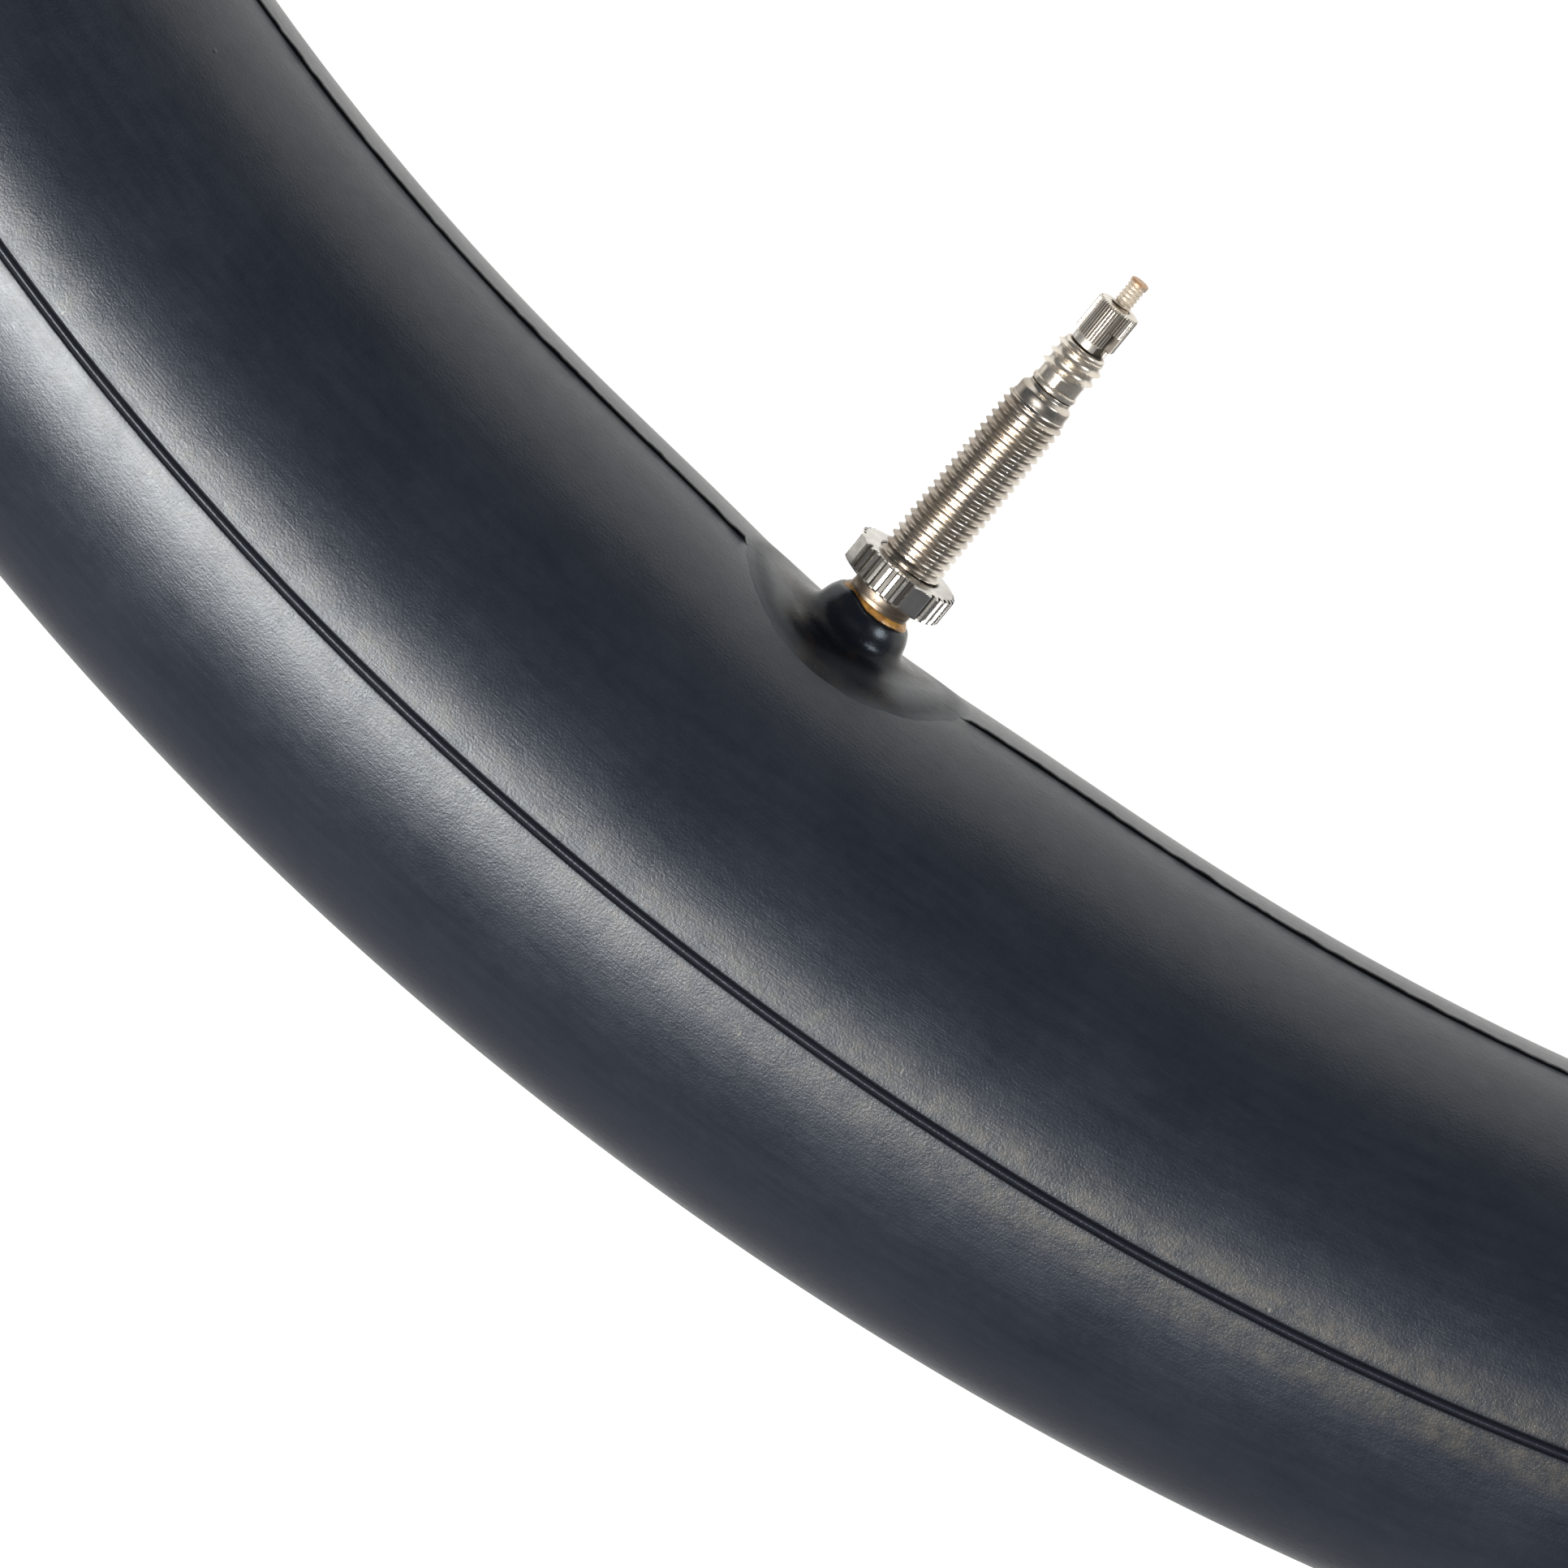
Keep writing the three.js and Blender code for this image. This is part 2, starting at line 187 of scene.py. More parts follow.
def make_tube():
    rib = [0, 0.08, 0.16, 0.24, 0.3, 0.35, 0.39, 0.43, 0.47, 0.51, 0.56, 0.63, 0.75, 0.95, 1.2]
    rib = [-offset for offset in rib[:0:-1]] + rib
    fin = [-0.95, -0.65, -0.5, -0.4, -0.32, -0.26, -0.2, -0.14, -0.07]
    fin += [-offset for offset in fin[::-1]] + [0]
    around = fine_samples(RIB_ANGLE, rib) + fine_samples(LOWER_RIB_ANGLE, rib)
    around += fine_samples(FIN_ANGLE, fin) + fine_samples(PARTING_ANGLE, [-0.5, -0.2, 0, 0.2, 0.5])
    taken = np.array(around)
    for angle in np.arange(0, TAU, TAU / 120):
        if np.abs(taken - angle).min() * SECTION > 0.7:
            around.append(angle)
    around = np.array(sorted(around))
    close = np.arange(-NEAR_VALVE, NEAR_VALVE, 0.12)
    far = np.arange(NEAR_VALVE, 360 - NEAR_VALVE, 1.0)
    along = np.radians(np.concatenate([close, far]))
    grid_along, grid_around = np.meshgrid(along, around, indexing="ij")

    def distance(angle):
        """Millimetres round the section from an angle."""
        return off_angle(grid_around, angle) * SECTION

    length = along * INSIDE
    lift = np.zeros_like(grid_along)
    rib_fin_shade = np.zeros_like(grid_along)
    # The second value of each rib is painted shade in and beside its grooves; the fin below adds painted
    # shade under it.
    for angle, seed in ((RIB_ANGLE, 3.0), (LOWER_RIB_ANGLE, 5.0)):
        drift = 0.05 * wobble(length / 20, seed)[:, None]
        height, dark = rib_relief(distance(angle) + drift)
        lift += height
        rib_fin_shade = np.maximum(rib_fin_shade, dark)
    # The mould fin on the inner side is ragged, and dies out at the valve's pad.
    ragged = 0.85 + 0.3 * wobble(length / 1.7, 11.0, 4) + 0.2 * wobble(length / 7, 12.0, 2)
    stops = smooth_step(FIN_GAP, FIN_GAP + 0.5, np.abs(length))
    height = (FIN_HEIGHT * np.clip(ragged, 0.3, 1.5) * stops + 0.02)[:, None]
    t = distance(FIN_ANGLE) + 0.12 * wobble(length / 14, 13.0)[:, None]
    lift += height * np.interp(t, FIN_BENDS, FIN_SHARES)
    # Painted shade under the ragged fin, weaker where the fin dies out.
    dark = np.interp(np.abs(t), [0.3, 0.46], [1, 0]) * (0.3 + 0.7 * stops[:, None])
    rib_fin_shade = np.maximum(rib_fin_shade, dark)
    lift += PARTING_HEIGHT * np.exp(-((distance(PARTING_ANGLE) / PARTING_SPREAD) ** 2))
    # The butt splice of the ring lies opposite the valve.
    splice = np.degrees(np.abs(along - math.pi))
    band = 1 - smooth_step(SPLICE_END, SPLICE_START, splice)
    lift += SPLICE_HEIGHT * band[:, None]

    points = rubber_point(grid_along, grid_around, lift)
    rows, columns = grid_along.shape
    faces = grid_faces(rows, columns, True)
    piece = mesh_object("tube_skin", points.reshape(-1, 3), faces, "root", 60)
    set_attribute(piece, "rib_fin_shade", rib_fin_shade.ravel())
    beside = np.minimum(np.abs(distance(RIB_ANGLE)), np.abs(distance(LOWER_RIB_ANGLE)))
    dust = smooth_step(0.45, 1.1, beside) * (1 - smooth_step(1.6, 4.6, beside))
    set_attribute(piece, "dust", dust.ravel())
    run_map(piece, rows, columns, length, around)
    piece.data.materials.append(tube_material())
    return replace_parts(piece, "tube_body")


def run_map(piece, rows, columns, length, around):
    """UVs in decimetres: U runs along the tube and V around its section."""
    step_u = np.append(length, length[0] + TAU * INSIDE) / 100
    step_v = np.append(around, around[0] + TAU) * SECTION / 100
    layer = piece.data.uv_layers.new(name="run")
    i, j = np.divmod(np.arange(rows * columns), columns)
    corners = np.stack([
        step_u[i], step_v[j], step_u[i], step_v[j + 1],
        step_u[i + 1], step_v[j + 1], step_u[i + 1], step_v[j],
    ], -1)
    layer.data.foreach_set("uv", corners.astype(np.float32).ravel())


# ---- Valve base ----

BOSS = [  # radius and height of the moulded boss, from its foot on the pad to its top
    (6.4, 0.56), (5.8, 0.62), (5.3, 0.72), (4.95, 0.86), (4.7, 1.05), (4.53, 1.28), (4.42, 1.54),
    (4.34, 1.8), (4.27, 2.07), (4.18, 2.34), (4.06, 2.6), (3.92, 2.82), (3.77, 2.99),
    (3.6, 3.12), (3.4, 3.2), (3.1, 3.18), (2.9, 3.0),
]
BASE_COLUMNS = 144
UNDER_BORE, UNDER_RIM = -0.5, -0.4  # the underside's height over the rubber


def make_base():
    """The pad and its boss in one skin, with an underside inside the tube's rubber."""
    angle = np.arange(BASE_COLUMNS) * TAU / BASE_COLUMNS
    cos, sin = np.cos(angle), np.sin(angle)

    def on_rubber(x, y, lift):
        return rubber_point(-x / INSIDE, math.pi - y / SECTION, lift)

    edge = PAD_RADIUS * (1 + 0.02 * wobble(3 * cos, 21.0) + 0.015 * wobble(5 * sin, 22.0))
    rim_x, rim_y = edge * cos, edge * sin
    foot, foot_h = BOSS[0]
    bore = BOSS[-1][0]
    rows = [on_rubber(bore * cos, bore * sin, UNDER_BORE), on_rubber(rim_x, rim_y, UNDER_RIM)]
    for share in PAD_SHARES:
        x = foot * (1 - share) * cos + share * rim_x
        y = foot * (1 - share) * sin + share * rim_y
        rise = PAD_STEP * smooth_step(1.0, 0.93, share) - PAD_TUCK * share ** 50
        rise += (PAD_HEIGHT - PAD_STEP) * smooth_step(1.0, 0.6, share)
        rows.append(on_rubber(x, y, rise))
    level = rows[-1][:, 1]
    smear = smear_line(angle)
    for radius, h in BOSS[1:]:
        sunk = level - (VALVE_ZERO - foot_h)
        y = VALVE_ZERO - h + sunk * smooth_step(4.2, foot, radius)
        y = y - smear * smooth_step(2.7, 3.15, h) * smooth_step(2.9, 3.3, radius)
        rows.append(np.stack([radius * cos, y, radius * sin], -1))
    faces = grid_faces(len(rows), BASE_COLUMNS, True)
    piece = mesh_object("valve_base_skin", np.concatenate(rows), faces, "root", 60)
    piece.data.materials.append(base_material())
    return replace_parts(piece, "valve_base")


SMEAR_ANGLE = math.radians(52)  # where the rubber climbs highest


def smear_line(angle):
    """How far the black rubber climbs over the cement, round the stem."""
    away = np.degrees(off_angle(angle, SMEAR_ANGLE))
    climb = 0.16 + 0.42 * np.exp(-((away / 20) ** 2))
    return climb + 0.05 * wobble(np.cos(angle) * 3, 31.0) + 0.04 * wobble(np.sin(angle) * 5, 32.0)


# ---- Turned metal ----

def valve_point(radius, height, angle):
    return np.stack([radius * np.cos(angle), VALVE_ZERO - height, radius * np.sin(angle)], -1)


def turned(name, rows, body, material, sides, shape=None, loop=False, sharp=35):
    """Turns rows of (radius, height) about the valve's axis. shape(radius, height, angle) may
    change each point's radius. A row of radius 0 closes an end; loop closes rows on the first."""
    outline = np.array(rows, float)
    angle = np.arange(sides) * TAU / sides
    radius = np.repeat(outline[:, :1], sides, 1)
    height = np.repeat(outline[:, 1:2], sides, 1)
    grid_angle = np.repeat(angle[None, :], len(outline), 0)
    if shape:
        radius = np.where(radius > 0, shape(radius, height, grid_angle), 0)
    depth = (outline[:, :1] - radius).ravel()
    points = valve_point(radius, height, grid_angle).reshape(-1, 3)
    faces = grid_faces(len(outline), sides, loop)
    if not loop:
        keep = np.arange(len(points))
        keep[:sides] = 0
        keep[-sides:] = (len(outline) - 1) * sides
        merged = [tuple(dict.fromkeys(int(keep[c]) for c in face)) for face in faces]
        used = sorted({c for face in merged for c in face})
        place = {old: new for new, old in enumerate(used)}
        faces = [tuple(place[c] for c in face) for face in merged]
        points, depth = points[used], depth[used]
    piece = mesh_object(name, points, faces, body, sharp)
    set_attribute(piece, "depth", depth)
    piece.data.materials.append(material)
    return piece


def span(low, high, step, radius):
    """Rows at one radius, a step apart."""
    count = max(2, int(round((high - low) / step)) + 1)
    return [(radius, h) for h in np.linspace(low, high, count)]


def thread_groove(height, angle, pitch, sharpness=1.0, flat=0.06):
    """Depth share of a right-hand thread, 0 at the crest and 1 in the root."""
    turn = (height / pitch - angle / TAU) % 1.0
    wave = np.sin(np.pi * turn) ** sharpness
    return np.clip((wave - flat) / (1 - flat), 0, 1)


def side_flat(radius, angle, centre, distance):
    """Radius after a flat at that distance from the axis, facing the centre angle."""
    away = off_angle(angle, centre)
    widest = 1.4
    flat = distance / np.cos(np.clip(away, -widest, widest))
    return np.where(np.abs(away) < widest, np.minimum(radius, flat), radius)


STEM_PITCH, STEM_THREAD_DEPTH = 0.8, 0.39
THREAD_TOP = 25.9


def make_stem(metal):
    def shape(radius, height, angle):
        outside = radius > 2.5
        depth = STEM_THREAD_DEPTH * (0.1 + 0.9 * smooth_step(5.2, 6.2, height))
        depth = depth * smooth_step(3.2, 4.4, height)
        depth = depth * (1 - smooth_step(THREAD_TOP - 0.35, THREAD_TOP, height))
        groove = thread_groove(height, angle, STEM_PITCH, 0.95)
        tapered = radius - 0.25 * smooth_step(THREAD_TOP - 0.4, THREAD_TOP + 0.02, height)
        cut = np.where(height > 2.3, tapered - depth * groove, radius)
        return np.where(outside & (height < THREAD_TOP + 0.01), cut, radius)

    rows = [(1.1, 1.75), (3.3, 1.75), (3.35, 1.85), (3.35, 2.05), (3.2, 2.15), (2.95, 2.2)]
    rows += span(2.4, THREAD_TOP, 0.05, 2.96)
    rows += [(2.63, 26.0), (2.63, 26.05), (2.59, 26.2), (2.58, 26.5), (2.57, 26.9), (2.54, 27.0)]
    rows += [(2.46, 27.08), (2.2, 27.3), (2.12, 27.38), (2.09, 27.45), (2.09, 27.62), (2.05, 27.7)]
    rows += [(1.85, 27.7), (1.78, 27.6), (1.75, 27.4), (1.75, 15.6), (1.5, 15.6), (1.5, 9.0)]
    rows += [(1.1, 9.0)]
    piece = turned("stem_threaded", rows, "root", metal, 96, shape, True)
    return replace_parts(piece, "valve_stem")


NUT_RADIUS, NUT_VALLEY, NUT_TEETH = 5.05, 4.68, 36
NUT_FLAT_ANGLE, NUT_FLAT_HALF = math.radians(119), math.radians(9)


def make_rim_nut(metal):
    chamfer_h = np.array([5.2, 5.24, 5.5, 5.62, 7.9, 8.0, 8.08, 8.14, 8.18, 8.2])
    chamfer_r = np.array([4.1, 4.3, 4.96, 5.06, 5.06, 4.99, 4.86, 4.66, 4.42, 4.1])

    def shape(radius, height, angle):
        pitch = TAU / NUT_TEETH
        turn = np.abs(((angle - NUT_FLAT_ANGLE) / pitch) % 1.0 - 0.5) * 2
        tooth = NUT_RADIUS - (NUT_RADIUS - NUT_VALLEY) * (1 - smooth_step(0.46, 0.64, turn))
        quarter = (angle - NUT_FLAT_ANGLE + TAU / 8) % (TAU / 4) - TAU / 8
        on_flat = np.abs(quarter) < NUT_FLAT_HALF
        flat = NUT_RADIUS * math.cos(NUT_FLAT_HALF) / np.cos(quarter) - 0.01
        tooth = np.where(on_flat, flat, tooth)
        return np.where(radius > 3.4, np.minimum(radius, tooth), radius)

    rows = [(3.0, 5.8), (3.6, 5.25), (3.66, 5.2), (4.1, 5.2)]
    rows += [(np.interp(h, chamfer_h, chamfer_r), h) for h in np.linspace(5.24, 5.62, 11)]
    rows += span(5.7, 7.8, 0.3, 5.06)
    rows += [(np.interp(h, chamfer_h, chamfer_r), h) for h in np.linspace(7.86, 8.18, 12)]
    rows += [(4.1, 8.2), (3.7, 8.2), (3.3, 8.19), (3.12, 8.15), (3.0, 8.02)]
    piece = turned("rim_nut_knurled", rows, "rim_nut", metal, 432, shape, True, 28)
    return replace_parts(piece, "rim_nut")


def make_bead():
    def shape(radius, height, angle):
        swell = 0.08 * wobble(np.cos(angle).ravel() * 2.1 + 4, 41.0).reshape(angle.shape)
        swell += 0.05 * wobble(np.sin(angle).ravel() * 4.3, 42.0).reshape(angle.shape)
        return np.where(radius > 3.02, radius + swell * smooth_step(3.0, 3.3, radius), radius)

    rows = [(2.95, 3.0), (3.36, 3.0), (3.46, 3.14), (3.43, 3.3), (3.35, 3.46), (3.24, 3.6)]
    rows += [(3.12, 3.72), (3.02, 3.8), (2.92, 3.86), (2.8, 3.88), (2.8, 3.0)]
    material = cement_material()
    piece = turned("bonding_bead_skin", rows, "root", material, 144, shape, True, 60)
    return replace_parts(piece, "bonding_bead")


# ---- Valve core ----

CAP_PITCH, CAP_ROOT, CAP_DEPTH = 25.4 / 24, 2.04, 0.42
CORE_FLAT_ANGLE, CORE_FLAT = math.radians(114), 1.9
CORE_PITCH, CORE_THREAD_DEPTH = 0.5, 0.16


def make_core(metal):
    def shape(radius, height, angle):
        ends = smooth_step(29.35, 29.6, height) * (1 - smooth_step(31.95, 32.15, height))
        groove = thread_groove(height, angle, CAP_PITCH, 0.62, 0.1)
        threaded = CAP_ROOT + CAP_DEPTH * ends * (1 - groove)
        on_thread = (radius > 2.2) & (height > 29.2) & (height < 32.2)
        radius = np.where(on_thread, threaded, radius)
        on_neck = (height > 28.4) & (height < 29.3) & (radius > 1.5)
        for centre in (CORE_FLAT_ANGLE, CORE_FLAT_ANGLE + math.pi):
            radius = np.where(on_neck, side_flat(radius, angle, centre, CORE_FLAT), radius)
        screw = (height > 18.2) & (height < 27.6) & (radius > 1.5)
        runout = smooth_step(18.2, 18.8, height) * (1 - smooth_step(27.2, 27.6, height))
        groove = CORE_THREAD_DEPTH * runout * thread_groove(height, angle, CORE_PITCH)
        return np.where(screw, radius - groove, radius)

    rows = [(0.75, 14.6), (0.95, 14.6), (1.05, 14.7), (1.05, 17.9), (1.5, 18.0), (1.62, 18.12)]
    rows += span(18.2, 27.6, 0.07, 1.64)
    rows += [(1.64, 27.74), (1.95, 27.8), (2.12, 27.84), (2.2, 27.93), (2.22, 28.1), (2.18, 28.28)]
    rows += [(2.07, 28.36), (2.04, 28.39), (2.04, 28.41), (2.04, 28.6), (2.04, 28.9), (2.04, 29.2)]
    rows += span(29.22, 32.18, 0.04, 2.3)
    rows += [(2.06, 32.2), (2.05, 32.28), (2.01, 32.38), (1.92, 32.46), (1.75, CORE_TOP)]
    rows += [(1.0, CORE_TOP), (0.97, CORE_TOP - 0.1), (0.97, 30.0), (0.75, 30.0)]
    piece = turned("core_threaded", rows, "core", metal, 96, shape, True)
    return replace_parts(piece, "core_body")


CORE_NUT_RADIUS, CORE_NUT_GROOVE, CORE_NUT_TEETH = 2.03, 0.17, 45
SLOT_ANGLE, SLOT_HALF_WIDTH, SLOT_FLOOR, SLOT_TOP = math.radians(138), 0.66, 1.24, 35.0
CORE_NUT_FLAT = 1.88
FLAT_LEAD = math.radians(19)  # the flats above the slots are turned this far back


def make_core_nut(metal):
    chamfer_h = np.array([33.34, 33.42, 33.55, 36.8, 36.95, 37.04, 37.1])
    chamfer_r = np.array([1.7, 1.9, 2.04, 2.04, 1.98, 1.88, 1.7])

    def shape(radius, height, angle):
        turn = np.abs((angle / TAU * CORE_NUT_TEETH) % 1.0 - 0.5) * 2
        tooth = CORE_NUT_RADIUS - CORE_NUT_GROOVE * (1 - smooth_step(0.25, 0.65, turn))
        ridged = np.where(radius > 1.71, np.minimum(radius, tooth), radius)
        for centre in (SLOT_ANGLE, SLOT_ANGLE + math.pi):
            away = off_angle(angle, centre)
            beside = np.abs(ridged * np.sin(away))
            cut = (beside < SLOT_HALF_WIDTH) & (np.abs(away) < 1) & (height < SLOT_TOP)
            floor = np.minimum(ridged, SLOT_FLOOR / np.cos(np.clip(away, -1, 1)))
            ridged = np.where(cut & (radius > 1.2), floor, ridged)
            flat = side_flat(ridged, angle, centre - FLAT_LEAD, CORE_NUT_FLAT)
            ridged = np.where(height > SLOT_TOP, flat, ridged)
        return ridged

    rows = [(0.91, 32.7), (1.05, 32.62), (1.62, 32.62), (1.7, 32.7), (1.7, 33.0), (1.7, 33.3)]
    rows += [(np.interp(h, chamfer_h, chamfer_r), h) for h in np.linspace(33.34, 33.58, 7)]
    rows += span(33.75, 34.9, 0.2, 2.04)
    rows += [(2.04, 34.99), (2.04, 35.01)]
    rows += span(35.15, 36.75, 0.3, 2.04)
    rows += [(np.interp(h, chamfer_h, chamfer_r), h) for h in np.linspace(36.8, 37.09, 8)]
    rows += [(1.6, 37.1), (1.0, 37.1), (0.91, 37.02)]
    piece = turned("core_nut_knurled", rows, "core_nut", metal, 360, shape, True, 28)
    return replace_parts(piece, "core_nut")


PIN_PITCH, PIN_THREAD_DEPTH = 0.4, 0.15


def make_pin():
    def shape(radius, height, angle):
        threaded = (height > 33.0) & (height < PIN_TIP - 0.35) & (radius > 0.8)
        depth = PIN_THREAD_DEPTH * (1 - smooth_step(PIN_TIP - 0.55, PIN_TIP - 0.38, height))
        return np.where(threaded, radius - depth * thread_groove(height, angle, PIN_PITCH), radius)

    rows = [(0, 12.0), (0.7, 12.0), (0.88, 12.1), (0.9, 12.3), (0.75, 12.45), (0.5, 12.5)]
    rows += [(0.5, 32.7), (0.8, 32.95)]
    rows += span(33.0, PIN_TIP - 0.36, 0.04, 0.87)
    rows += [(0.87, PIN_TIP - 0.3), (0.88, PIN_TIP - 0.16), (0.84, PIN_TIP - 0.06)]
    rows += [(0.74, PIN_TIP - 0.01), (0.5, PIN_TIP - 0.03), (0.2, PIN_TIP - 0.07), (0, PIN_TIP - 0.08)]
    piece = turned("pin_threaded", rows, "pin", pin_material(), 64, shape)
    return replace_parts(piece, "valve_pin")


def make_inner_parts():
    """The gasket, seal and retainer, which show when the core is out of the stem."""
    red = seal_material("gasket_red", (0.22, 0.022, 0.012))
    black = seal_material("seal_black", (0.012, 0.012, 0.013))
    rows = [(1.12, 15.95), (1.3, 15.9), (1.45, 16.0), (1.58, 16.5), (1.6, 17.3), (1.55, 17.62)]
    rows += [(1.45, 17.7), (1.12, 17.7)]
    gasket = turned("gasket_tapered", rows, "core", red, 64, loop=True)
    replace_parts(gasket, "core_gasket")
    rows = [(0.55, 13.5), (1.2, 13.5), (1.3, 13.6), (1.3, 14.1), (1.2, 14.28), (1.0, 14.3)]
    rows += [(0.55, 14.3)]
    seal = turned("seal_round", rows, "pin", black, 64, loop=True)
    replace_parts(seal, "pin_seal")
    rows = [(0.55, 12.7), (1.1, 12.7), (1.25, 12.8), (1.25, 13.2), (1.18, 13.3), (0.55, 13.3)]
    retainer = turned("retainer_cup", rows, "pin", pin_material(), 64, loop=True)
    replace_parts(retainer, "seal_retainer")


# ---- Materials ----

class Nodes:
    """A material's node tree, with short calls for the nodes used here."""

    def __init__(self, owner):
        owner.use_nodes = True
        self.material = owner
        self.tree = owner.node_tree
        self.shader = next(node for node in self.tree.nodes if "Output" not in node.bl_idname)

    def add(self, kind, inputs=None, **settings):
        node = self.tree.nodes.new(kind)
        for key, value in settings.items():
            setattr(node, key, value)
        for key, value in (inputs or {}).items():
            self.plug(node, key, value)
        return node

    def plug(self, node, key, value):
        if isinstance(value, bpy.types.NodeSocket):
            self.tree.links.new(value, node.inputs[key])
        else:
            node.inputs[key].default_value = value

    def set(self, **inputs):
        for key, value in inputs.items():
            self.plug(self.shader, key.replace("_", " "), value)

    def math(self, operation, a, b=0.0, clamp=False):
        node = self.add("ShaderNodeMath", operation=operation, use_clamp=clamp)
        self.plug(node, 0, a)
        self.plug(node, 1, b)
        return node.outputs[0]

    def times(self, a, b):
        return self.math("MULTIPLY", a, b)

    def span(self, value, low, high, to_low=0.0, to_high=1.0):
        inputs = {"Value": value, "From Min": low, "From Max": high, "To Min": to_low, "To Max": to_high}
        return self.add("ShaderNodeMapRange", inputs).outputs[0]

    def noise(self, vector, scale, detail=3.0, rough=0.55):
        inputs = {"Vector": vector, "Scale": scale, "Detail": detail, "Roughness": rough}
        return self.add("ShaderNodeTexNoise", inputs).outputs[0]

    def stretch(self, vector, scale):
        return self.add("ShaderNodeMapping", {"Vector": vector, "Scale": scale}).outputs[0]

    def mix(self, factor, a, b):
        node = self.add("ShaderNodeMix", data_type="RGBA")
        for key, value in ((0, factor), (6, a), (7, b)):
            if isinstance(value, tuple) and len(value) == 3:
                value = (*value, 1.0)
            self.plug(node, key, value)
        return node.outputs[2]

    def bump(self, height, strength, distance):
        inputs = {"Height": height, "Strength": strength, "Distance": distance}
        return self.add("ShaderNodeBump", inputs).outputs[0]

    def specks(self, vector, scale, size, rare):
        """Round dots in the few cells of a pattern whose random value is over rare."""
        cells = self.add("ShaderNodeTexVoronoi", {"Vector": vector, "Scale": scale})
        value = self.add("ShaderNodeSeparateColor", {0: cells.outputs["Color"]}).outputs[0]
        dot = self.span(cells.outputs["Distance"], 0.6 * size, size, 1.0, 0.0)
        return self.math("MULTIPLY", dot, self.math("GREATER_THAN", value, rare))

    def place(self):
        return self.add("ShaderNodeTexCoord").outputs["Object"]

    def part(self, vector, axis):
        return self.add("ShaderNodeSeparateXYZ", {0: vector}).outputs[axis]

    def attribute(self, name):
        return self.add("ShaderNodeAttribute", attribute_name=name).outputs["Fac"]


RUBBER_DARK, RUBBER_LIGHT = (0.0095, 0.0125, 0.0200), (0.0150, 0.0185, 0.0270)
RUBBER_MIDDLE = (0.0120, 0.0152, 0.0232)
# Near black for the painted shade in the ribs' grooves and under the mould fin.
GROOVE_SHADE = (0.005, 0.005, 0.0065)
DUST, CRUMB, SPECK = (0.060, 0.050, 0.036), (0.24, 0.23, 0.20), (0.20, 0.20, 0.19)
PAD_DARK, PAD_LIGHT = (0.0100, 0.0135, 0.0220), (0.0145, 0.0190, 0.0290)
# The first colour here is painted shade just inside the pad's edge.
PAD_EDGE_SHADE, SEAM_SHADE = (0.0075, 0.009, 0.0125), (0.003, 0.003, 0.004)
WET_BLACK, CEMENT_BROWN, PAD_SPECK = (0.0050, 0.0062, 0.0095), (0.06, 0.034, 0.014), (0.3, 0.3, 0.28)
WET_WIDTH, WET_LENGTH = 8.8, 11.0  # the wet area reaches this far along the ring and across it


def tube_material():
    """Butyl rubber: a wide bluish sheen with a narrow pale one on top, fine scratches along
    the tube, and cream dust beside the ribs."""
    n = Nodes(bpy.data.materials.new("butyl_tube"))
    run = n.add("ShaderNodeUVMap", uv_map="run").outputs[0]
    place = n.place()
    rib_fin_shade = n.attribute("rib_fin_shade")
    dust = n.attribute("dust")
    streaks = n.noise(n.stretch(run, (14, 80, 1)), 1.0, 4.0, 0.6)
    scratches = n.noise(n.stretch(run, (16, 620, 1)), 1.0, 2.0, 0.6)
    bloom = n.noise(place, 45.0, 6.0, 0.62)
    grain = n.noise(place, 4200.0, 2.0, 0.6)
    mottle = n.noise(place, 1300.0, 3.0, 0.65)
    blotch = n.noise(place, 420.0, 4.0, 0.62)
    cloud = n.math("ADD", n.times(streaks, 0.35), n.times(bloom, 0.65))
    color = n.mix(n.span(cloud, 0.38, 0.62), RUBBER_DARK, RUBBER_LIGHT)
    patchy = n.times(n.span(blotch, 0.36, 0.6, 0.2, 1.0), n.span(mottle, 0.35, 0.65, 0.35, 1.0))
    color = n.mix(n.times(dust, patchy), color, DUST)
    crumbs = n.specks(n.stretch(run, (110, 34, 1)), 1.0, 0.13, 0.93)
    color = n.mix(n.times(crumbs, n.times(dust, 0.7)), color, CRUMB)
    color = n.mix(n.times(n.specks(place, 150.0, 0.024, 0.8), 0.8), color, SPECK)
    # Paint the shade in the rib grooves and under the fin.
    color = n.mix(rib_fin_shade, color, GROOVE_SHADE)
    rough = n.span(cloud, 0.35, 0.65, 0.34, 0.41)
    rough = n.math("ADD", rough, n.span(mottle, 0.3, 0.7, -0.03, 0.03))
    rough = n.math("ADD", rough, n.span(scratches, 0.3, 0.7, -0.03, 0.03))
    shine = n.times(n.span(blotch, 0.32, 0.68, 0.46, 0.58), n.span(rib_fin_shade, 0.0, 1.0, 1.0, 0.15))
    relief = n.math("ADD", n.times(grain, 0.55), n.times(mottle, 0.3))
    relief = n.math("ADD", relief, n.times(scratches, n.span(bloom, 0.42, 0.62, 0.1, 0.42)))
    relief = n.math("ADD", relief, n.times(n.specks(place, 150.0, 0.05, 0.85), 1.5))
    bump = n.bump(relief, 0.36, 0.00013)
    n.set(Base_Color=color, Roughness=rough, Normal=bump, Coat_Normal=bump)
    n.set(Specular_IOR_Level=shine, Specular_Tint=(0.84, 0.92, 1.0, 1.0))
    n.set(Coat_Weight=n.span(rib_fin_shade, 0.0, 0.8, 0.22, 0.0))
    n.set(Coat_Roughness=n.span(blotch, 0.3, 0.7, 0.27, 0.35))
    return n.material


